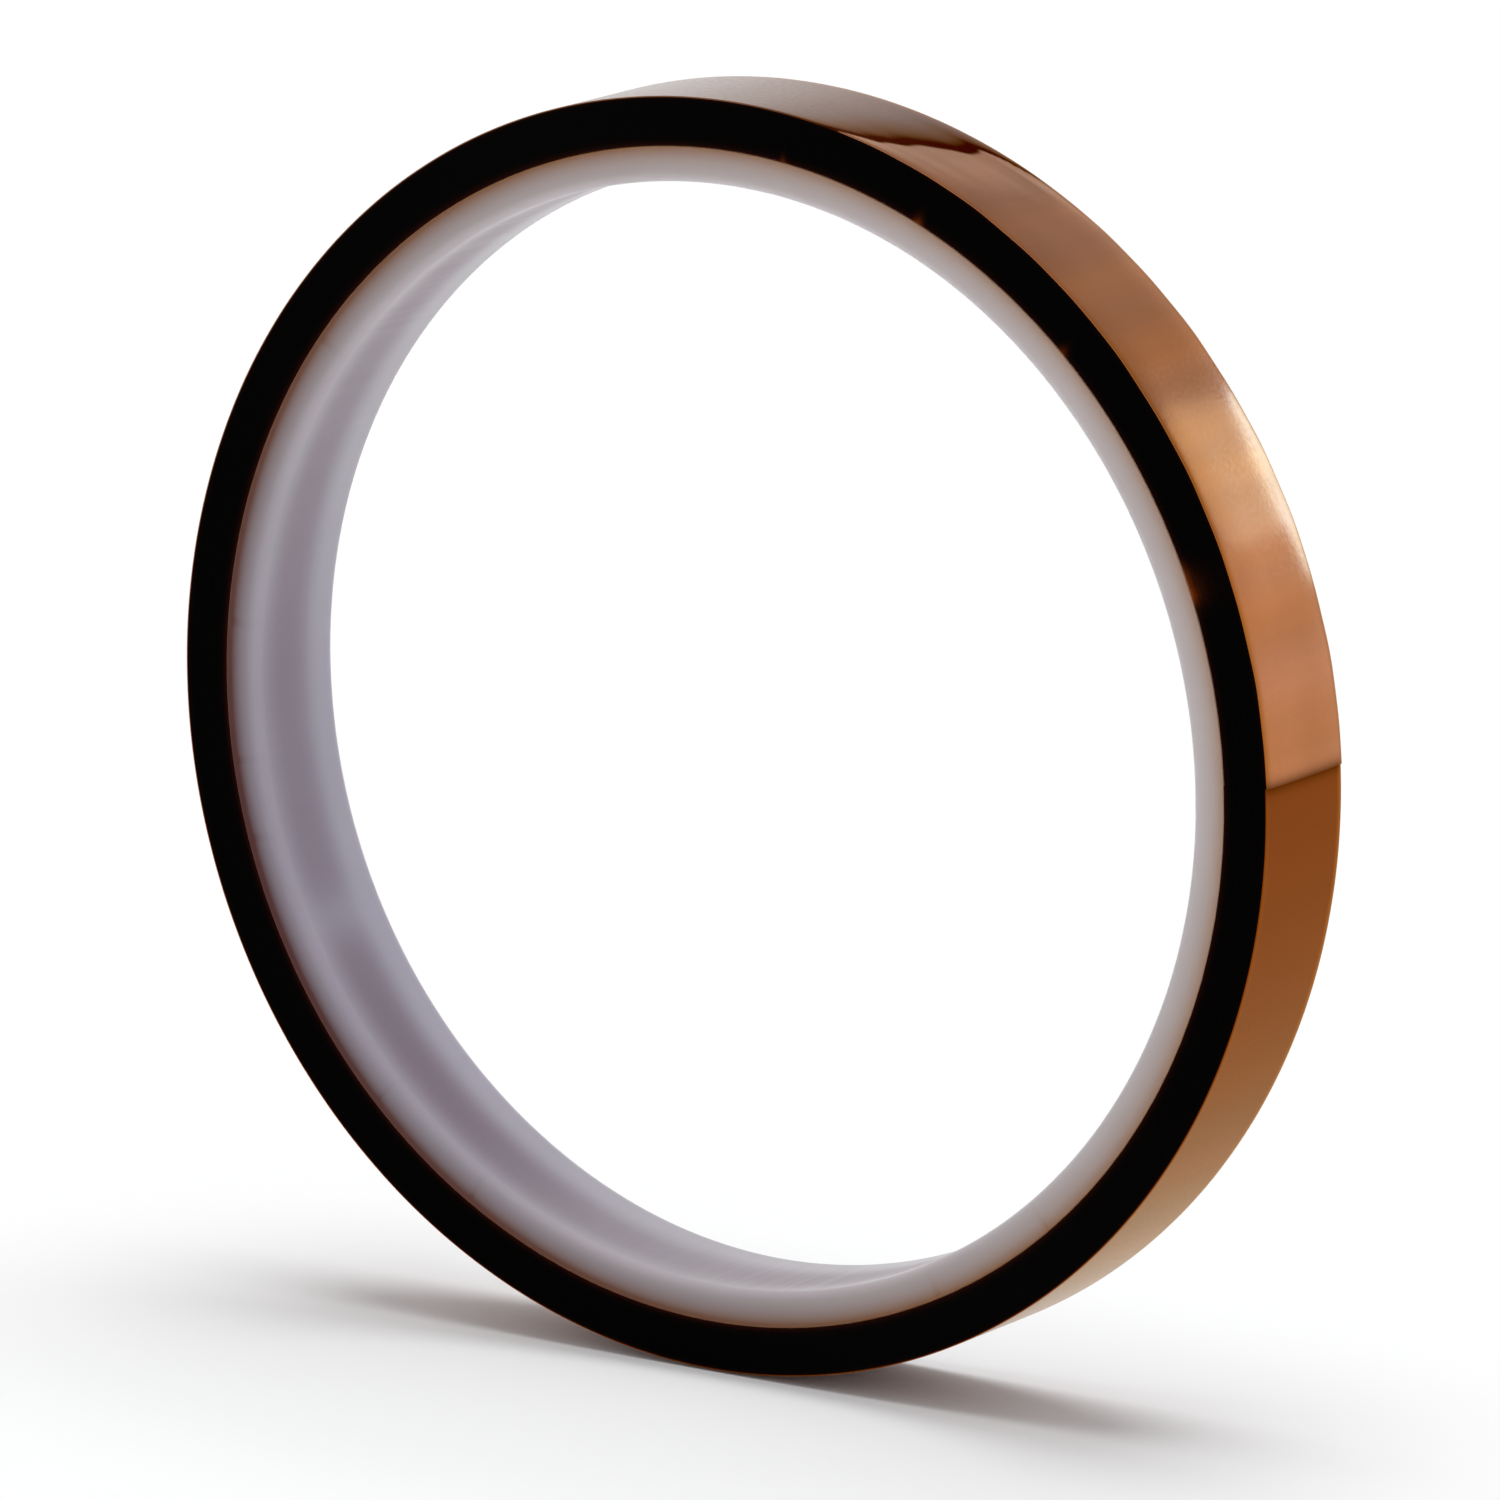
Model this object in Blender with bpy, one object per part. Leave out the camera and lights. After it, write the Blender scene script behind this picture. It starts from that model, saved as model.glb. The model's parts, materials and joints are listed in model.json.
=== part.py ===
"""A narrow roll of copper-coloured film tape on a plastic core.

The roll stands on its rim. Its axis is Y and its middle is the origin, so the
bore's centre is at (0, 0, 0). Angles round the roll start at +X and rise
towards +Z. The tape is one long strip: its turns lie flat on each other, and
its cut end lies loose on the roll from the cut to the peel line, where it lifts.
"""

import math

import bmesh
import bpy
from mathutils import Vector

# Driving dimensions, in metres
BORE_RADIUS = 0.0385  # the 3 inch core that such rolls are wound on
CORE_RADIUS = 0.0410  # outside of the core, where the first turn sticks
ROLL_RADIUS = 0.04455  # over the last turn
TAPE_WIDTH = 0.0095  # 3/8 inch
BORE_EDGE_RADIUS = 0.0007  # rounding where the bore meets each end face
FILM_SOLID = 0.0002  # thickness of the last turn's solid
GAP = 0.0003  # between solids that touch on the real roll

# Round the roll
FACETS = 128
EDGE_STEPS = 4  # facets in each rounded edge of the bore
CUT_ANGLE = math.radians(2.9)  # the tape's cut end
PEEL_ANGLE = math.radians(72.0)  # where the loose end meets the stuck-down turn

# Finishes: base colour, metallic, roughness
MILKY_PLASTIC = ((0.62, 0.60, 0.63, 1.0), 0.0, 0.38)
WOUND_EDGE = ((0.020, 0.008, 0.003, 1.0), 0.0, 0.30)
AMBER_FILM = ((0.34, 0.13, 0.035, 1.0), 0.35, 0.18)
COPPER_FILM = ((0.56, 0.28, 0.13, 1.0), 0.75, 0.22)


def clear_scene():
    for obj in list(bpy.data.objects):
        bpy.data.objects.remove(obj, do_unlink=True)


def finish(name, look):
    """A Principled material of one colour."""
    colour, metallic, roughness = look
    material = bpy.data.materials.new(name)
    material.use_nodes = True
    shader = material.node_tree.nodes["Principled BSDF"]
    shader.inputs["Base Color"].default_value = colour
    shader.inputs["Metallic"].default_value = metallic
    shader.inputs["Roughness"].default_value = roughness
    return material


def on_roll(radius, angle, y=0.0):
    """The point at this radius and angle, y along the axis."""
    return Vector((radius * math.cos(angle), y, radius * math.sin(angle)))


def band(inner, outer):
    """Cross-section of a plain band: (radius, y) round its four corners."""
    half = TAPE_WIDTH / 2
    return [(inner, -half), (outer, -half), (outer, half), (inner, half)]


def core_section():
    """Cross-section of the core: a band whose two bore edges are quarter circles."""
    half, r = TAPE_WIDTH / 2, BORE_EDGE_RADIUS
    outer = CORE_RADIUS - GAP / 2
    points = [(outer, -half), (outer, half)]
    for side in (1, -1):
        for step in range(EDGE_STEPS + 1):
            turn = math.radians(90) * step / EDGE_STEPS
            if side < 0:
                turn = math.radians(90) - turn
            points.append(
                (BORE_RADIUS + r - r * math.sin(turn), side * (half - r + r * math.cos(turn)))
            )
    return points


def stations(start, end):
    """Angles from start to end on the roll's facets, which leave a flat one at the very bottom."""
    step = math.tau / FACETS
    first = math.floor(start / step - 0.5) + 1
    angles = [start]
    while (first + 0.5) * step < end - 0.1 * step:
        if (first + 0.5) * step > start + 0.1 * step:
            angles.append((first + 0.5) * step)
        first += 1
    return angles + [end]


def turned(name, section, material, start=None, end=None, origin=Vector((0, 0, 0))):
    """Carries a cross-section round the roll's axis, all the way or from start to end."""
    whole = start is None
    if whole:
        angles = [(k + 0.5) * math.tau / FACETS for k in range(FACETS)]
    else:
        angles = stations(start, end)
    bm = bmesh.new()
    rings = [
        [bm.verts.new(on_roll(radius, angle, y) - origin) for radius, y in section]
        for angle in angles
    ]
    pairs = list(zip(rings, rings[1:]))
    if whole:
        pairs.append((rings[-1], rings[0]))
    else:
        bm.faces.new(rings[0])
        bm.faces.new(rings[-1])
    for this, following in pairs:
        for k in range(len(section)):
            j = (k + 1) % len(section)
            bm.faces.new((this[k], this[j], following[j], following[k]))
    bmesh.ops.recalc_face_normals(bm, faces=bm.faces)
    mesh = bpy.data.meshes.new(name)
    bm.to_mesh(mesh)
    bm.free()
    mesh.shade_smooth()
    mesh.set_sharp_from_angle(angle=math.radians(35))
    mesh.materials.append(material)
    obj = bpy.data.objects.new(name, mesh)
    obj.location = origin
    bpy.context.scene.collection.objects.link(obj)
    return obj


def make_core():
    turned("core", core_section(), finish("milky_plastic", MILKY_PLASTIC))


def make_wound_tape():
    """All the turns that lie under the last one."""
    section = band(CORE_RADIUS + GAP / 2, ROLL_RADIUS - FILM_SOLID - GAP)
    turned("wound_tape", section, finish("wound_edge", WOUND_EDGE))


def make_last_turn():
    """The stuck-down part of the last turn, from the peel line round to the cut end."""
    section = band(ROLL_RADIUS - FILM_SOLID, ROLL_RADIUS)
    half_gap = GAP / 2 / ROLL_RADIUS
    turned(
        "last_turn",
        section,
        finish("amber_film", AMBER_FILM),
        PEEL_ANGLE + half_gap,
        CUT_ANGLE - half_gap + math.tau,
    )


def make_loose_end():
    """The loose part of the last turn, which lifts about its outer edge at the peel line."""
    section = band(ROLL_RADIUS - FILM_SOLID, ROLL_RADIUS)
    half_gap = GAP / 2 / ROLL_RADIUS
    turned(
        "loose_end",
        section,
        finish("copper_film", COPPER_FILM),
        CUT_ANGLE + half_gap,
        PEEL_ANGLE - half_gap,
        on_roll(ROLL_RADIUS, PEEL_ANGLE),
    )


clear_scene()
make_core()
make_wound_tape()
make_last_turn()
make_loose_end()
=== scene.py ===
import json
import math

import bpy
import numpy as np
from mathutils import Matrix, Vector


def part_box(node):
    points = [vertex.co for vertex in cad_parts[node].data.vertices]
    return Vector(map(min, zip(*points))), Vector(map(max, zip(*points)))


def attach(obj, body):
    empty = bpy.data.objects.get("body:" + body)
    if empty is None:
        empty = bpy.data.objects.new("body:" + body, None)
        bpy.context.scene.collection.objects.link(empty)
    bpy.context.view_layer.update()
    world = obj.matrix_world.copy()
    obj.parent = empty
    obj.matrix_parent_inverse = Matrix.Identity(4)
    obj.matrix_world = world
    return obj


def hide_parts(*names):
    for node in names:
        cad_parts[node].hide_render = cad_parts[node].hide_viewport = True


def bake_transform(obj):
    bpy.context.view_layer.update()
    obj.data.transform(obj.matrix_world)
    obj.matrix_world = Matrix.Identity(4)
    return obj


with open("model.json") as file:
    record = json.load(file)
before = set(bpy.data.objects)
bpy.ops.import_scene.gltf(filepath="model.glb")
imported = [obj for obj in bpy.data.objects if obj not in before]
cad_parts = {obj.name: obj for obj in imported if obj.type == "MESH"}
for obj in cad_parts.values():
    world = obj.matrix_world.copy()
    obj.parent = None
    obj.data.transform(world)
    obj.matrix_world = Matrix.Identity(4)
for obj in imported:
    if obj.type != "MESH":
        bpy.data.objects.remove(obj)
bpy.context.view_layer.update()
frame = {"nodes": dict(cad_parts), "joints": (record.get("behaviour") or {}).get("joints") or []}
print("frame loaded:", sorted(frame["nodes"]))

# the roll lies round the Y axis; angles start at +X and rise towards +Z
peel = frame["joints"][0]["pos_m"]  # where the loose end leaves the roll
roll = {
    "radius": math.hypot(peel[0], peel[2]),  # over the last turn
    "peelAngle": math.atan2(peel[2], peel[0]),
    "cutAngle": math.radians(2.9),  # the straight cut across the tape
    "halfWidth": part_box("wound_tape")[1][1],
    "pitch": 0.00006,  # film and adhesive, one turn
    "coreRadius": 0.0410,
    "boreRadius": 0.0385,
}


def gridQuads(rows, columns, wrapRows, wrapColumns):
    # each quad joins a grid point to the next row, the next column and the one across
    i = np.arange(rows if wrapRows else rows - 1)[:, None]
    j = np.arange(columns if wrapColumns else columns - 1)[None, :]
    ni, nj = (i + 1) % rows, (j + 1) % columns
    corners = [i * columns + j, ni * columns + j, ni * columns + nj, i * columns + nj]
    return np.stack(np.broadcast_arrays(*corners), axis=-1).reshape(-1, 4)


def capQuads(first, columns, flip):
    # closes one end of a flat strip: each quad joins two points on top to the two below them
    k = np.arange(columns // 2 - 1)
    quads = first + np.stack([k, k + 1, columns - 2 - k, columns - 1 - k], axis=-1)
    return quads[:, ::-1] if flip else quads


def onRoll(radius, angle, across):
    # (radius cos angle, across, radius sin angle)
    points = np.broadcast_arrays(radius * np.cos(angle), across, radius * np.sin(angle))
    return np.stack(points, axis=-1)


sharpFrom = math.radians(35)  # edges that turn more than this aren't smoothed


def meshPiece(name, points, quads, values=None, places=None):
    # points and quads as whole arrays; values are kept at each point for the materials, places are its UV map
    flat = points.reshape(-1, 3)
    mesh = bpy.data.meshes.new(name)
    mesh.vertices.add(len(flat))
    mesh.vertices.foreach_set("co", flat.astype(np.float32).ravel())
    mesh.loops.add(quads.size)
    mesh.loops.foreach_set("vertex_index", quads.astype(np.int32).ravel())
    mesh.polygons.add(len(quads))
    mesh.polygons.foreach_set("loop_start", np.arange(0, quads.size, 4, dtype=np.int32))
    mesh.update(calc_edges=True)
    mesh.validate()
    for label, numbers in (values or {}).items():
        spread = np.broadcast_to(numbers, points.shape[:-1]).astype(np.float32).ravel()
        mesh.attributes.new(label, "FLOAT", "POINT").data.foreach_set("value", spread)
    if places is not None:
        spread = places.reshape(-1, 2)[quads.ravel()].astype(np.float32)
        mesh.uv_layers.new(name="tapeMap").uv.foreach_set("vector", spread.ravel())
    mesh.shade_smooth()
    mesh.set_sharp_from_angle(angle=sharpFrom)
    piece = bpy.data.objects.new(name, mesh)
    bpy.context.scene.collection.objects.link(piece)
    return piece


def smoothStep(low, high, x):
    # 0 below low, 1 above high, an S curve between
    t = np.clip((x - low) / (high - low), 0, 1)
    return t * t * (3 - 2 * t)


def gentleWaves(along, across, lengths, height, seed):
    # a sum of cosines, one for each wavelength, each in its own direction and phase
    draw = np.random.default_rng(seed)
    total = 0
    for length in lengths:
        turn, phase = draw.uniform(-0.5, 0.5), draw.uniform(0, math.tau)
        route = along * math.cos(turn) + across * math.sin(turn)
        total = total + np.cos(math.tau * route / length + phase)
    return height * total / len(lengths)


noiseSpan = (0.3, 0.7)  # most of a noise texture's values lie between these


class Nodes:
    # short calls for building one material's node tree
    def __init__(self, name):
        self.material = bpy.data.materials.new(name)
        self.material.use_nodes = True
        self.tree = self.material.node_tree
        self.shader = self.tree.nodes["Principled BSDF"]

    def add(self, kind, inputs=None, **settings):
        node = self.tree.nodes.new(kind)
        for label, value in settings.items():
            setattr(node, label, value)
        for label, value in (inputs or {}).items():
            self.put(node.inputs[label], value)
        return node

    def put(self, socket, value):
        if isinstance(value, bpy.types.NodeSocket):
            self.tree.links.new(value, socket)
        else:
            socket.default_value = value

    def value(self, label):
        return self.add("ShaderNodeAttribute", attribute_name=label).outputs["Fac"]

    def math(self, operation, a, b):
        return self.add("ShaderNodeMath", {0: a, 1: b}, operation=operation).outputs[0]

    def mix(self, factor, a, b, blend="MIX"):
        node = self.add("ShaderNodeMix", data_type="RGBA", blend_type=blend)
        for index, value in ((0, factor), (6, a), (7, b)):
            self.put(node.inputs[index], value)
        return node.outputs[2]

    def noise(self, vector, scale, detail=2.0):
        inputs = {"Vector": vector, "Scale": scale, "Detail": detail}
        return self.add("ShaderNodeTexNoise", inputs).outputs["Fac"]

    def stretch(self, vector, scale):
        inputs = {"Vector": vector, "Scale": scale}
        return self.add("ShaderNodeMapping", inputs).outputs["Vector"]

    def spread(self, value, low, high, outLow, outHigh):
        inputs = {"Value": value, "From Min": low, "From Max": high, "To Min": outLow, "To Max": outHigh}
        return self.add("ShaderNodeMapRange", inputs).outputs["Result"]

    def bump(self, height, distance):
        inputs = {"Height": height, "Distance": distance, "Strength": 1.0}
        return self.add("ShaderNodeBump", inputs).outputs["Normal"]


filmLook = {
    "bonded": (0.202, 0.0355, 0.001, 1),
    # a painted grazing sheen: the stuck film past the streak, paler and greyer where it mirrors at a low
    # angle
    "grazingSheen": (0.195, 0.085, 0.045, 1),
    "loose": (0.47, 0.166, 0.055, 1),
    # dark brown of the painted shade along the streak and at the cut, also the colour of the dark specks
    "shadeAndSpecks": (0.055, 0.012, 0.002, 1),
    "blush": (0.45, 0.172, 0.076, 1),
    "mauve": (0.385, 0.164, 0.094, 1),
    # orange of the painted glow along the film's edges
    "edge": (0.36, 0.105, 0.008, 1),
    # tints of what the film mirrors at a low angle
    "bondedGrazing": (1.0, 0.885, 0.665, 1),
    "grazingSheenTint": (1.0, 1.0, 1.0, 1),
    "looseGrazing": (1.0, 0.96, 0.88, 1),
    "shadeGrazing": (0.55, 0.42, 0.38, 1),
    # cells in a metre, along the tape and across it
    "bands": (230, 12, 1), "fineBands": (1100, 50, 1), "blushes": (210, 14, 1), "clouds": (120, 160, 1),
    "grain": (2600, 2600, 1), "specks": (230, 230, 1),
    "softDetail": 0.5, "blushSpan": (0.35, 0.65), "shadeSpan": (0.45, 1.0),
    "bandShare": 0.8, "fineShare": 0.15, "cloudShare": 0.5, "contrast": 0.17, "stuckContrast": 0.4,
    "mauveFrom": 0.030, "mauveTo": 0.050, "mauveMost": 0.8,  # metres from the cut
    "speckRarity": 0.86, "speckSize": 0.015, "speckSoft": 0.04, "speckDark": 0.75,
    "roughness": (0.17, 0.23), "looseGloss": 0.03, "grainHeight": 0.000004,
}


def filmMaterial():
    n = Nodes("amberCopperFilm")
    uv = n.add("ShaderNodeUVMap", uv_map="tapeMap").outputs["UV"]
    bands = n.noise(n.stretch(uv, filmLook["bands"]), 1.0, filmLook["softDetail"])
    fine = n.noise(n.stretch(uv, filmLook["fineBands"]), 1.0)
    clouds = n.noise(n.stretch(uv, filmLook["clouds"]), 1.0)
    grain = n.noise(n.stretch(uv, filmLook["grain"]), 1.0)
    # the painted grazing sheen pales the stuck film past the streak
    stuck = n.mix(n.value("paintedSheen"), filmLook["bonded"], filmLook["grazingSheen"])
    blush = n.noise(n.stretch(uv, filmLook["blushes"]), 1.0, filmLook["softDetail"])
    blush = n.spread(blush, *filmLook["blushSpan"], 0.0, 1.0)
    free = n.mix(blush, filmLook["loose"], filmLook["blush"])
    fromCut = n.add("ShaderNodeSeparateXYZ", {0: uv}).outputs["X"]
    mauve = n.spread(fromCut, filmLook["mauveFrom"], filmLook["mauveTo"], 0.0, filmLook["mauveMost"])
    free = n.mix(mauve, free, filmLook["mauve"])
    colour = n.mix(n.value("loose"), stuck, free)
    # lightness: 1 plus bands and clouds, weaker where the film is stuck
    shade = n.math("MULTIPLY", bands, filmLook["bandShare"])
    shade = n.math("ADD", shade, n.math("MULTIPLY", fine, filmLook["fineShare"]))
    shade = n.math("ADD", shade, n.math("MULTIPLY", clouds, filmLook["cloudShare"]))
    shade = n.spread(shade, *filmLook["shadeSpan"], -filmLook["contrast"], filmLook["contrast"])
    strength = n.spread(n.value("loose"), 0.0, 1.0, filmLook["stuckContrast"], 1.0)
    shade = n.math("ADD", 1.0, n.math("MULTIPLY", shade, strength))
    tint = n.add("ShaderNodeCombineColor", {"Red": shade, "Green": shade, "Blue": shade}).outputs[0]
    colour = n.mix(1.0, colour, tint, "MULTIPLY")
    # painted glow along the film's edges
    colour = n.mix(n.value("edge"), colour, filmLook["edge"])
    # painted shade: a dark band along the streak and a dark line at the cut
    colour = n.mix(n.value("shadeAndSpecks"), colour, filmLook["shadeAndSpecks"])
    # dark specks: the middles of a few random cells
    cells = n.add("ShaderNodeTexVoronoi", {"Vector": n.stretch(uv, filmLook["specks"]), "Scale": 1.0})
    chance = n.add("ShaderNodeSeparateColor", {0: cells.outputs["Color"]}).outputs[0]
    few = n.math("GREATER_THAN", chance, filmLook["speckRarity"])
    size, soft = filmLook["speckSize"], filmLook["speckSoft"]
    speck = n.spread(cells.outputs["Distance"], size, soft, filmLook["speckDark"], 0.0)
    colour = n.mix(n.math("MULTIPLY", speck, few), colour, filmLook["shadeAndSpecks"])
    n.put(n.shader.inputs["Base Color"], colour)
    n.put(n.shader.inputs["Metallic"], 1.0)
    grazing = n.mix(n.value("paintedSheen"), filmLook["bondedGrazing"], filmLook["grazingSheenTint"])
    grazing = n.mix(n.value("loose"), grazing, filmLook["looseGrazing"])
    grazing = n.mix(n.value("shadeAndSpecks"), grazing, filmLook["shadeGrazing"])
    n.put(n.shader.inputs["Specular Tint"], grazing)
    roughness = n.spread(grain, *noiseSpan, *filmLook["roughness"])
    gloss = n.math("MULTIPLY", n.value("loose"), filmLook["looseGloss"])
    n.put(n.shader.inputs["Roughness"], n.math("SUBTRACT", roughness, gloss))
    n.put(n.shader.inputs["Normal"], n.bump(grain, filmLook["grainHeight"]))
    return n.material


woundLook = {
    "side": (0.0005, 0.0002, 0.0001, 1),
    "rim": (0.030, 0.0045, 0.0015, 1),
    "glow": (0.34, 0.060, 0.006, 1),
    "roughness": 0.42, "mirror": 0.018,
}


def woundMaterial():
    n = Nodes("woundTapeSide")
    colour = n.mix(n.value("rim"), woundLook["side"], woundLook["rim"])
    colour = n.mix(n.value("glow"), colour, woundLook["glow"])
    n.put(n.shader.inputs["Base Color"], colour)
    n.put(n.shader.inputs["Roughness"], woundLook["roughness"])
    n.put(n.shader.inputs["Specular IOR Level"], woundLook["mirror"])
    return n.material


coreLook = {
    "milk": (0.655, 0.630, 0.658, 1),
    # mauve: the milk in the painted shade of the bore
    "mauve": (0.315, 0.242, 0.280, 1),
    # tan and maroon: the painted tape shade on the lit side and on the side away from the light
    "tan": (0.370, 0.175, 0.064, 1),
    "maroon": (0.080, 0.006, 0.003, 1),
    "clouds": 70, "cloudRange": (0.97, 1.03), "lines": (1500, 30, 1500),  # cells in a metre
    "lineDetail": 3.0,
    # farBlue and its power: a painted bluish cast of skylight on the side away from the light
    "farBlue": 0.100, "farBluePower": 4.0, "tapePower": 1.4,
    "roughness": (0.30, 0.40), "mirror": 0.35, "lineHeight": 0.000006,
    "glowRadius": (1.0, 0.92, 0.9), "glowDepth": 0.0006,
}


def coreMaterial():
    n = Nodes("milkyCore")
    place = n.add("ShaderNodeTexCoord").outputs["Object"]
    cloud = n.noise(place, coreLook["clouds"])
    # extrusion lines along the bore
    lines = n.noise(n.stretch(place, coreLook["lines"]), 1.0, coreLook["lineDetail"])
    # the painted shade in the bore turns the milk to mauve
    colour = n.mix(n.value("shadow"), coreLook["milk"], coreLook["mauve"])
    # painted shade on the side away from the light
    shade = n.math("SUBTRACT", n.spread(cloud, *noiseSpan, *coreLook["cloudRange"]), n.value("sideShade"))
    # a painted bluish cast of skylight on the side away from the light
    far = n.math("POWER", n.value("side"), coreLook["farBluePower"])
    bluer = n.math("ADD", shade, n.math("MULTIPLY", far, coreLook["farBlue"]))
    tint = n.add("ShaderNodeCombineColor", {"Red": shade, "Green": shade, "Blue": bluer}).outputs[0]
    colour = n.mix(1.0, colour, tint, "MULTIPLY")
    # the painted tape shade turns from tan to maroon on the side away from the light
    dark = n.math("POWER", n.value("side"), coreLook["tapePower"])
    colour = n.mix(n.value("tapeShade"), colour, n.mix(dark, coreLook["tan"], coreLook["maroon"]))
    n.put(n.shader.inputs["Base Color"], colour)
    n.put(n.shader.inputs["Roughness"], n.spread(lines, *noiseSpan, *coreLook["roughness"]))
    n.put(n.shader.inputs["Specular IOR Level"], coreLook["mirror"])
    n.put(n.shader.inputs["Subsurface Weight"], 1.0)
    n.put(n.shader.inputs["Subsurface Radius"], coreLook["glowRadius"])
    n.put(n.shader.inputs["Subsurface Scale"], coreLook["glowDepth"])
    n.put(n.shader.inputs["Normal"], n.bump(lines, coreLook["lineHeight"]))
    return n.material


core = {
    "boreEdge": 0.0007, "outerEdge": 0.00012,
    "around": 900, "arcPoints": 12, "wallPoints": 24, "facePoints": 14,
    "waver": 0.00002, "waverLengths": (0.048391, 0.030238), "waverReach": 0.0012,
    # painted tape shade in the core: its reach, and how much deeper it is on the side away from the light
    "tapeShadeReach": 0.0013, "tapeShade": 0.78, "tapeShadeTurn": 0.66,
    # painted shade on the side away from the light, and a painted highlight along the bore's rounded edge
    "sideShadeDepth": 0.34, "shadedSide": math.radians(204), "rimLight": 0.62, "rimReach": 0.0006,
    "shadow": 0.60, "shadowCentre": -0.20, "shadowReach": 0.60, "shadowPower": 3,
    # darker and lighter stretches of the painted shade in the bore: degrees, width in degrees, strength
    "shadowPatches": [(229, 22, 0.58), (172, 32, 0.36), (207, 3.0, -0.38), (284, 16, 0.5), (122, 22, 0.45)],
    # painted streaks of shade reaching into the core from the tape, at these angles
    "shadeStreaks": [143, 175, 189, 197, 226, 240, 297, 312],  # degrees
    "shadeStreak": 0.15, "shadeStreakWidth": 0.00022, "shadeStreakReach": 0.0013,
}


def roundedSection(inner, outer, half, innerEdge, outerEdge, arcPoints, wallPoints, facePoints):
    # a band's cross-section as (radius, y), closed: straight runs joined by quarter circles, where a point is
    # the corner moved in by edge (1 - sin t) one way and edge (1 - cos t) the other
    turn = np.linspace(0, math.pi / 2, arcPoints, endpoint=False)
    wall = np.linspace(-half + innerEdge, half - innerEdge, wallPoints, endpoint=False)
    face = np.linspace(inner + innerEdge, outer - outerEdge, facePoints, endpoint=False)
    backFace = np.linspace(outer - outerEdge, inner + innerEdge, facePoints, endpoint=False)
    outerWall = np.linspace(half - outerEdge, -half + outerEdge, 3, endpoint=False)
    runs = [
        (np.full_like(wall, inner), wall),
        (inner + innerEdge * (1 - np.cos(turn)), half - innerEdge * (1 - np.sin(turn))),
        (face, np.full_like(face, half)),
        (outer - outerEdge * (1 - np.sin(turn)), half - outerEdge * (1 - np.cos(turn))),
        (np.full_like(outerWall, outer), outerWall),
        (outer - outerEdge * (1 - np.cos(turn)), -half + outerEdge * (1 - np.sin(turn))),
        (backFace, np.full_like(backFace, -half)),
        (inner + innerEdge * (1 - np.sin(turn)), -half + innerEdge * (1 - np.cos(turn))),
    ]
    return np.concatenate([r for r, y in runs]), np.concatenate([y for r, y in runs])


def makeCore():
    # the rounded section carried round the circle, its bore wavering by a sum of cosines of the angle
    inner, outer, half = roll["boreRadius"], roll["coreRadius"], roll["halfWidth"]
    counts = core["arcPoints"], core["wallPoints"], core["facePoints"]
    radius, across = roundedSection(inner, outer, half, core["boreEdge"], core["outerEdge"], *counts)
    angle = np.linspace(0, math.tau, core["around"], endpoint=False)[:, None]
    waver = gentleWaves(angle * inner, 0 * angle, core["waverLengths"], core["waver"], 3)
    inside = smoothStep(inner + core["waverReach"], inner, radius)  # 1 on the bore, 0 out on the side
    points = onRoll(radius + waver * inside, angle, across)
    # painted shade of the tape in the translucent core: warm and dark near the tape, fading with the path in
    # from the tape, down the side and then along the bore, deeper on the side away from the light
    path = outer - radius + half - np.abs(across)
    side = 0.5 + 0.5 * np.cos(angle - core["shadedSide"])  # 1 on the side away from the light
    tapeShade = (core["tapeShade"] + core["tapeShadeTurn"] * side) * np.exp(-path / core["tapeShadeReach"])
    # painted streaks of shade reaching into the core from the tape
    for place in core["shadeStreaks"]:
        away = np.angle(np.exp(1j * (angle - math.radians(place)))) * outer
        fading = (away / core["shadeStreakWidth"]) ** 2 + path / core["shadeStreakReach"]
        tapeShade = tapeShade + core["shadeStreak"] * np.exp(-fading)
    tapeShade = np.clip(tapeShade, 0, 1)
    # painted shade on the side away from the light, lifted by a painted highlight along the bore's rounded
    # edge
    corner = np.hypot(radius - inner, half - np.abs(across))
    sideShade = core["sideShadeDepth"] * side * (1 - core["rimLight"] * np.exp(-((corner / core["rimReach"]) ** 2)))
    # painted shade in the bore, most where the wall is far from both ends
    out = np.abs(across / half - core["shadowCentre"]) / core["shadowReach"]
    shadow = inside * np.exp(-(out ** core["shadowPower"])) + 0 * angle
    for place, width, strength in core["shadowPatches"]:
        away = np.angle(np.exp(1j * (angle - math.radians(place))))
        shadow = shadow * (1 + strength * np.exp(-((away / math.radians(width)) ** 2)))
    shadow = np.clip(core["shadow"] * shadow, 0, 1)
    quads = gridQuads(*points.shape[:2], True, True)
    values = {"tapeShade": tapeShade, "shadow": shadow, "sideShade": sideShade, "side": side}
    piece = meshPiece("coreRing", points, quads, values)
    piece.data.materials.append(coreMaterial())
    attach(piece, "roll")
    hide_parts("core")
    print("core:", len(quads), "quads")


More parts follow.
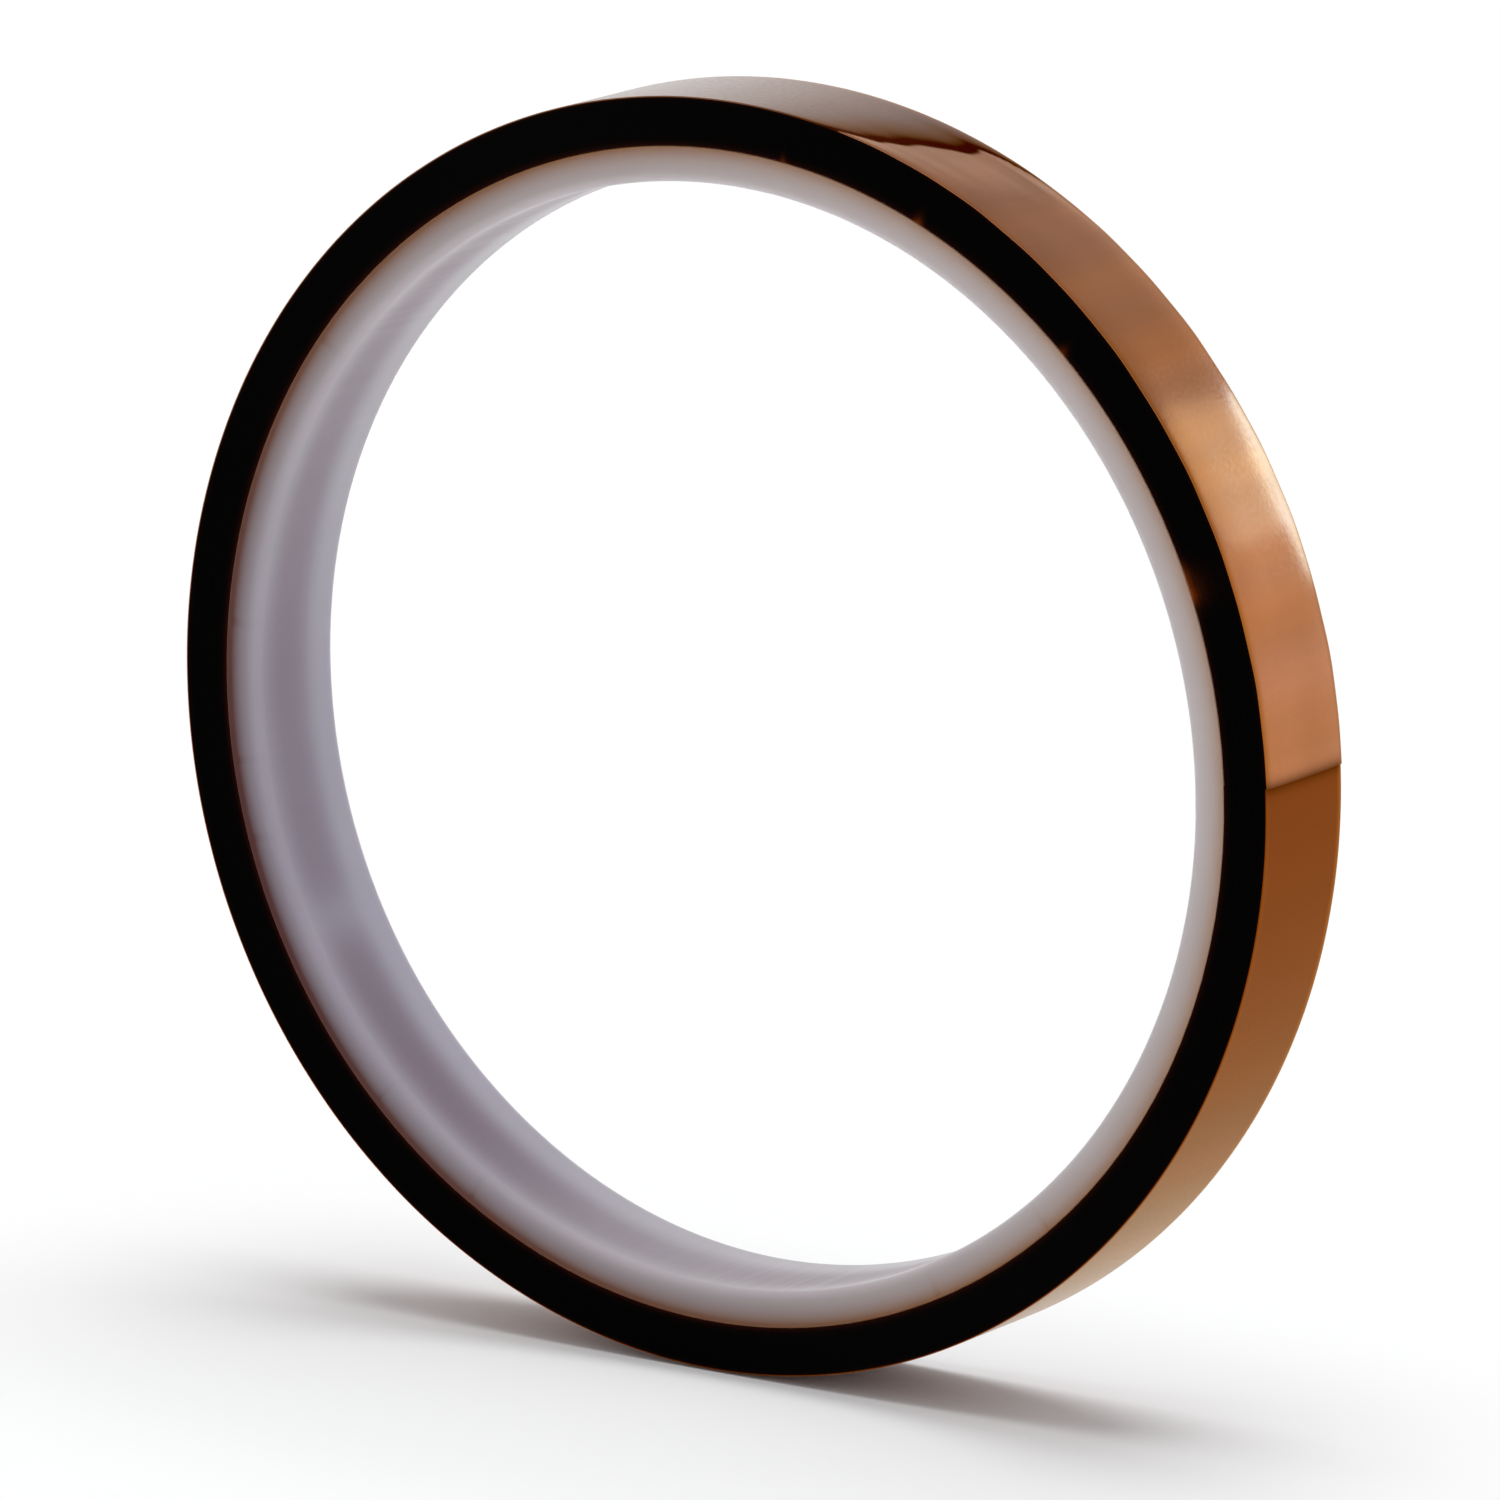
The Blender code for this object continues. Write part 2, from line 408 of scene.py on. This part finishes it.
film = {
    "thickness": 0.000057, "columns": 62,
    "edgeRound": 0.000015, "edgeSteps": (0.0, 0.15, 0.5),  # where points lie in the rounding, as shares of it
    "fineStep": math.radians(0.1), "coarseStep": math.radians(0.5), "fineEnd": math.radians(84),
    "lift": 0.00012, "looseLift": 0.00002, "cutLift": 0.00003, "cutLiftReach": math.radians(1.6),
    "crown": 0.00014, "crownPower": 4,
    "waves": 0.0000035, "waveLengths": (0.0061, 0.0093, 0.0142),
    "looseWaves": 0.00003, "looseWaveLengths": (0.0047, 0.0078, 0.0124), "looseWaveSlant": 0.2,
    # how the line where the loose film meets the stuck film runs across the tape: share of the width from the
    # front, and degrees
    "streakAcross": [0.0, 0.06, 0.12, 0.33, 0.50, 0.70, 0.80, 0.86, 0.92, 1.0],
    "streakAngle": [77.2, 75.4, 73.4, 72.25, 71.0, 69.1, 68.5, 69.0, 67.5, 62.5],
    "streakWaves": math.radians(0.45), "streakWaveLengths": (0.0009, 0.0014, 0.0023),
    "rise": math.radians(10),  # how far the loose film takes to leave the roll
    # painted shade: a dark core along the streak, a long fade onto the stuck film, and a dark line either
    # side of the cut
    "streakDark": 0.64, "streakCore": math.radians(1.7), "streakEdge": math.radians(0.9),
    "fadeDark": 0.62, "streakFade": math.radians(6.0), "fadePower": 1.2,
    "cutDark": 0.75, "cutShade": math.radians(0.6), "cutPower": 1.4,
    # the orange fringe, a painted glow along the film's edges: its width, its strength by the front and the
    # back, and where it fades
    "fringe": 0.0006, "frontFringe": 0.2, "looseFringe": 0.6, "backFringe": 0.85, "fringeOverShade": 0.6,
    "edgeFade": (math.radians(30), math.radians(62)), "edgeLoss": 0.75,
    # where the painted grazing sheen fades out round the roll, and how soon it starts past the streak
    "sheenFade": (math.radians(230), math.radians(130)), "sheenStart": math.radians(8),
    # two lengths at the peel line: one before it and one after
    "bendBefore": 0.012, "bendAfter": 0.011,
}


wound = {
    "stations": 112, "fineStations": 0.4, "fineReach": 3.2,  # stations in a turn, and degrees by a glow spot
    "filmShare": 0.62, "recess": 0.00003, "gap": 0.000002, "wander": 0.000012, "knotsPerTurn": 3,
    "innerRim": 0.00015, "outerRim": 0.00010, "outerRimShare": 0.5,
    # where light comes through: degrees, strength, length along the turn, reach out from the core
    "glowSpots": [
        (20.9, 1.0, 0.0005, 0.00026), (22.6, 0.8, 0.0009, 0.00020), (21.6, 0.25, 0.0012, 0.00070),
        (46.9, 0.6, 0.0003, 0.00025), (66.2, 0.9, 0.0003, 0.00025), (82.0, 0.5, 0.0002, 0.00020),
    ],
}


def makeWoundTurns():
    # one strip carried along a spiral, radius = start + pitch turn / (2 pi); its section is the film with a
    # narrower adhesive layer under it, and it wanders sideways between random knots, a few to each turn
    start = roll["coreRadius"] + wound["gap"]
    room = roll["radius"] - film["lift"] - 2 * roll["pitch"] - start
    turns = int(room / roll["pitch"])
    pitch = room / turns
    stations = [np.linspace(0, math.tau, wound["stations"], endpoint=False)]
    near = np.arange(-wound["fineReach"], wound["fineReach"], wound["fineStations"])
    for spot in wound["glowSpots"]:
        stations.append((roll["cutAngle"] - np.radians(spot[0] + near)) % math.tau)
    stations = np.unique(np.round(np.concatenate(stations), 4))
    stations = stations[np.diff(stations, append=math.tau) > math.radians(wound["fineStations"] / 2)]
    wrap = (np.arange(turns)[:, None] * math.tau + stations).ravel()
    wrap = np.append(wrap, turns * math.tau)[:, None]
    angle = roll["cutAngle"] - wrap  # wound outwards against the angle, towards the cut
    climb = pitch * wrap / math.tau
    draw = np.random.default_rng(11)
    knots = draw.normal(0, wound["wander"], turns * wound["knotsPerTurn"] + 4)
    shift = np.interp(wrap, np.arange(len(knots)) * math.tau / wound["knotsPerTurn"], knots)
    half, thin = roll["halfWidth"] - 3 * wound["wander"], pitch - wound["gap"]
    glue = thin * (1 - wound["filmShare"])
    height = np.array([thin, thin, glue, glue, 0, 0, glue, glue])
    side = np.array([-1, 1, 1, 1, 1, -1, -1, -1.0])
    pull = np.array([0, 0, 0, 1, 1, 1, 1, 0.0]) * wound["recess"]
    corners = len(height)
    points = onRoll(start + climb + height, angle, side * (half - pull) + shift)
    quads = np.concatenate([
        gridQuads(*points.shape[:2], False, True),
        capQuads(0, corners, True),
        capQuads((len(wrap) - 1) * corners, corners, False),
    ])
    rim = np.exp(-climb / wound["innerRim"])
    rim = rim + wound["outerRimShare"] * np.exp(-(room - climb) / wound["outerRim"])
    glow = np.zeros_like(climb)
    for place, strength, length, reach in wound["glowSpots"]:
        away = np.angle(np.exp(1j * (angle - math.radians(place)))) * roll["coreRadius"]
        glow = glow + strength * np.exp(-(away / length) ** 2 - climb / reach)
    along = np.broadcast_to(wrap * roll["radius"], points.shape[:2])
    sheet = np.stack([along, np.broadcast_to(side * half, points.shape[:2])], axis=-1)
    piece = meshPiece("woundTurns", points, quads, {"rim": rim, "glow": np.clip(glow, 0, 1)}, sheet)
    piece.data.materials.append(woundMaterial())
    piece.data.materials.append(filmLooks)
    outward = np.zeros(len(quads), np.int32)
    outward[: (len(wrap) - 1) * corners : corners] = 1  # the faces that show when the loose end is lifted
    piece.data.polygons.foreach_set("material_index", outward)
    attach(piece, "roll")
    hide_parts("wound_tape")
    print("wound tape:", turns, "turns,", len(quads), "quads")


def filmTop(angle, across):
    # the film's outer radius: the spiral's, which falls by a pitch in each turn, plus sums of cosines; where
    # it is loose, also a lift, a crown 1 - |out|^power, and a rise that dies away exponentially from the cut;
    # less a quarter circle at each edge
    beyond = angle - roll["cutAngle"]
    share = (across + roll["halfWidth"]) / (2 * roll["halfWidth"])
    streak = np.radians(np.interp(share, film["streakAcross"], film["streakAngle"]))
    streak = streak + gentleWaves(0 * across, across, film["streakWaveLengths"], film["streakWaves"], 4)
    free = smoothStep(0, film["rise"], streak - angle)
    along = angle * roll["radius"]
    waves = gentleWaves(along, across, film["waveLengths"], film["waves"], 5)
    slant = film["looseWaveSlant"] * across
    looseWaves = gentleWaves(along, slant, film["looseWaveLengths"], film["looseWaves"], 8)
    out = across / roll["halfWidth"]
    arch = film["crown"] * (1 - np.abs(out) ** film["crownPower"])
    tip = film["cutLift"] * np.exp(-beyond / film["cutLiftReach"])
    base = roll["radius"] - film["lift"] - roll["pitch"] * beyond / math.tau
    radius = base + waves + free * (film["looseLift"] + looseWaves + arch + tip)
    edge = np.clip((np.abs(across) - roll["halfWidth"] + film["edgeRound"]) / film["edgeRound"], 0, 1)
    return radius - film["edgeRound"] * (1 - np.sqrt(1 - edge**2)), free, streak


def makeFilm(name, node, start, end):
    # a strip between two angles: its top is filmTop, its underside one thickness further in, its ends capped
    middle = np.clip(film["fineEnd"], start, end)
    fine = np.linspace(start, middle, int((middle - start) / film["fineStep"]) + 1)
    coarse = np.linspace(middle, end, int((end - middle) / film["coarseStep"]) + 1)
    angle = np.concatenate([fine, coarse[1:]])[:, None]
    rows = len(angle)
    half = roll["halfWidth"]
    tips = half - film["edgeRound"] * np.array(film["edgeSteps"])
    inner = np.linspace(-1, 1, film["columns"] - 2 * len(tips)) * (half - film["edgeRound"])
    across = np.sort(np.concatenate([inner, tips, -tips]))[None, :]
    top, free, streak = filmTop(angle, across)
    points = np.concatenate(
        [onRoll(top, angle, across), onRoll(top - film["thickness"], angle, across)[:, ::-1]], axis=1
    )
    columns = points.shape[1]
    quads = np.concatenate([
        gridQuads(rows, columns, False, True)[:, ::-1],
        capQuads(0, columns, False),
        capQuads((rows - 1) * columns, columns, True),
    ])
    behind = angle - streak  # on the stuck side, from the streak on
    # painted shade along the streak, fading out onto the stuck film past it
    fade = np.clip(behind, 0, None)
    shadeAndSpecks = film["streakDark"] * np.exp(-((fade / film["streakCore"]) ** 2))
    shadeAndSpecks = shadeAndSpecks + film["fadeDark"] * np.exp(-((fade / film["streakFade"]) ** film["fadePower"]))
    shadeAndSpecks = shadeAndSpecks * smoothStep(-film["streakEdge"], 0, behind)
    justPast = roll["cutAngle"] + math.tau - angle  # from the cut on, down the turn below
    justBefore = angle - roll["cutAngle"]
    # painted shade either side of the cut
    for away in (justPast, justBefore):
        shadeAndSpecks = shadeAndSpecks + film["cutDark"] * np.exp(-((away / film["cutShade"]) ** film["cutPower"]))
    loose = smoothStep(0, film["streakEdge"], -behind)
    # painted glow along the film's edges, strongest at the back edge and where the film is loose
    edge = smoothStep(half - film["fringe"], half, np.abs(across))
    shadeAndSpecks = shadeAndSpecks * np.where(across < 0, 1, 1 - film["fringeOverShade"] * edge)
    fewer = 1 - film["edgeLoss"] * smoothStep(*film["edgeFade"], angle)
    front = film["frontFringe"] + film["looseFringe"] * loose * fewer
    edge = edge * np.where(across < 0, front, film["backFringe"])
    # painted grazing sheen on the stuck film past the streak
    paintedSheen = smoothStep(*film["sheenFade"], angle) * smoothStep(0, film["sheenStart"], behind)
    values = {"loose": loose, "shadeAndSpecks": np.clip(shadeAndSpecks, 0, 1), "edge": edge, "paintedSheen": paintedSheen}
    values = {label: np.concatenate([shade, shade[:, ::-1]], axis=1) for label, shade in values.items()}
    along = (angle - roll["cutAngle"]) * roll["radius"] + 0 * across
    sheet = np.stack([along, across + 0 * angle], axis=-1)
    piece = meshPiece(name, points, quads, values, np.concatenate([sheet, sheet[:, ::-1]], axis=1))
    piece.data.materials.append(filmLooks)
    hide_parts(node)
    print(name, len(quads), "quads")
    return piece


filmLooks = filmMaterial()
makeCore()
makeWoundTurns()
lastTurn = makeFilm("lastTurn", "last_turn", roll["peelAngle"], roll["cutAngle"] + math.tau)
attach(lastTurn, "roll")
looseEnd = makeFilm("looseEnd", "loose_end", roll["cutAngle"], roll["peelAngle"])
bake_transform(looseEnd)


studio = {
    "floorHalf": 6.0, "floorColour": (0.95, 0.955, 0.96, 1), "floorRoughness": 0.9, "floorMirror": 0.1,
    # the soft light round the roll: its strength in front and behind, and how much dimmer it is above
    "front": 0.65, "back": 1.0, "turnsAt": (-0.5, 0.7), "topDim": 0.42, "dimsAt": (0.2, 0.62),
    # direction, distance, width, watts; the copper film mirrors the cool lamps as cream
    "softbox": ((0.318, 0.916, 0.247), 1.1, 0.34, 0.95), "softboxColour": (0.38, 1.0, 1.85),
    "panel": ((0.468, 0.798, 0.382), 1.6, 0.50, 0.42), "panelColour": (0.60, 1.0, 1.05),
    "topWay": (0, 0.1, 1), "topFar": 1.5, "topPower": 1.72, "topAngle": math.radians(44),
}


def makeFloor():
    half = studio["floorHalf"]
    z = -roll["radius"]
    corners = np.array([[[-half, -half, z], [-half, half, z]], [[half, -half, z], [half, half, z]]])
    floor = meshPiece("floor", corners, gridQuads(2, 2, False, False))
    n = Nodes("paleFloor")
    n.put(n.shader.inputs["Base Color"], studio["floorColour"])
    n.put(n.shader.inputs["Roughness"], studio["floorRoughness"])
    n.put(n.shader.inputs["Specular IOR Level"], studio["floorMirror"])
    floor.data.materials.append(n.material)


def areaLight(name, way, far, size, power):
    light = bpy.data.lights.new(name, "AREA")
    light.shape, light.size, light.energy = "DISK", size, power
    return placeLamp(name, light, way, far)


def placeLamp(name, light, way, far):
    # at that distance along way, facing the middle of the roll
    lamp = bpy.data.objects.new(name, light)
    lamp.location = np.array(way) / np.linalg.norm(way) * far
    lamp.rotation_mode = "QUATERNION"
    lamp.rotation_quaternion = lamp.location.to_track_quat("Z", "Y")
    lamp.visible_camera = False
    bpy.context.scene.collection.objects.link(lamp)
    return lamp


def makeTopLight():
    # a wide soft sun lights the whole floor evenly; nothing mirrors it
    light = bpy.data.lights.new("topLight", "SUN")
    light.energy, light.angle = studio["topPower"], studio["topAngle"]
    placeLamp("topLight", light, studio["topWay"], studio["topFar"]).visible_glossy = False


def makeWorld():
    world = bpy.data.worlds.new("softStudio")
    bpy.context.scene.world = world
    world.use_nodes = True
    tree = world.node_tree
    way = tree.nodes.new("ShaderNodeTexCoord").outputs["Generated"]
    parts = tree.nodes.new("ShaderNodeSeparateXYZ")
    tree.links.new(way, parts.inputs[0])

    def ramp(source, low, high, outLow, outHigh):
        node = tree.nodes.new("ShaderNodeMapRange")
        node.interpolation_type = "SMOOTHSTEP"
        tree.links.new(source, node.inputs["Value"])
        labels = ("From Min", "From Max", "To Min", "To Max")
        for label, value in zip(labels, (low, high, outLow, outHigh)):
            node.inputs[label].default_value = value
        return node.outputs["Result"]

    frontToBack = ramp(parts.outputs["Y"], *studio["turnsAt"], studio["front"], studio["back"])
    upwards = ramp(parts.outputs["Z"], *studio["dimsAt"], 1.0, 1 - studio["topDim"])
    product = tree.nodes.new("ShaderNodeMath")
    product.operation = "MULTIPLY"
    tree.links.new(frontToBack, product.inputs[0])
    tree.links.new(upwards, product.inputs[1])
    # the backdrop itself is plain white; the gradient only lights the roll
    backdrop = tree.nodes.new("ShaderNodeMix")
    seen = tree.nodes.new("ShaderNodeLightPath").outputs["Is Camera Ray"]
    tree.links.new(seen, backdrop.inputs["Factor"])
    tree.links.new(product.outputs[0], backdrop.inputs["A"])
    backdrop.inputs["B"].default_value = 1.0
    tree.links.new(backdrop.outputs["Result"], tree.nodes["Background"].inputs["Strength"])
    tree.nodes["Background"].inputs["Color"].default_value = (1, 1, 1, 1)


view = {
    "azimuth": 33.82, "elevation": 12.68, "distance": 0.891,
    "lens": 313.5, "sensor": 36, "nearest": 0.05, "farthest": 20,
    "aside": 0.002573, "above": -0.000599,  # how far the aim is from the middle of the front side
}


def makeCamera():
    a, e = math.radians(view["azimuth"]), math.radians(view["elevation"])
    back = np.array([math.sin(a) * math.cos(e), -math.cos(a) * math.cos(e), math.sin(e)])
    right = np.array([math.cos(a), math.sin(a), 0])
    up = np.array([-math.sin(a) * math.sin(e), math.cos(a) * math.sin(e), math.cos(e)])
    data = bpy.data.cameras.new("camera")
    data.lens, data.sensor_width = view["lens"], view["sensor"]
    data.clip_start, data.clip_end = view["nearest"], view["farthest"]
    camera = bpy.data.objects.new("camera", data)
    aim = np.array([0, -roll["halfWidth"], 0]) + view["aside"] * right + view["above"] * up
    camera.location = aim + view["distance"] * back
    camera.rotation_mode = "QUATERNION"
    camera.rotation_quaternion = (-Vector(back)).to_track_quat("-Z", "Y")
    bpy.context.scene.collection.objects.link(camera)
    bpy.context.scene.camera = camera


makeFloor()
makeWorld()
glossy = bpy.data.collections.new("glossyFilm")  # the cool lamps shine on the film only
for piece in (lastTurn, looseEnd):
    glossy.objects.link(piece)
for name in ("softbox", "panel"):
    lamp = areaLight(name, *studio[name])
    lamp.data.color = studio[name + "Colour"]
    lamp.light_linking.receiver_collection = glossy
makeTopLight()
makeCamera()
bpy.context.scene.view_settings.view_transform = "Standard"
print("studio ready")
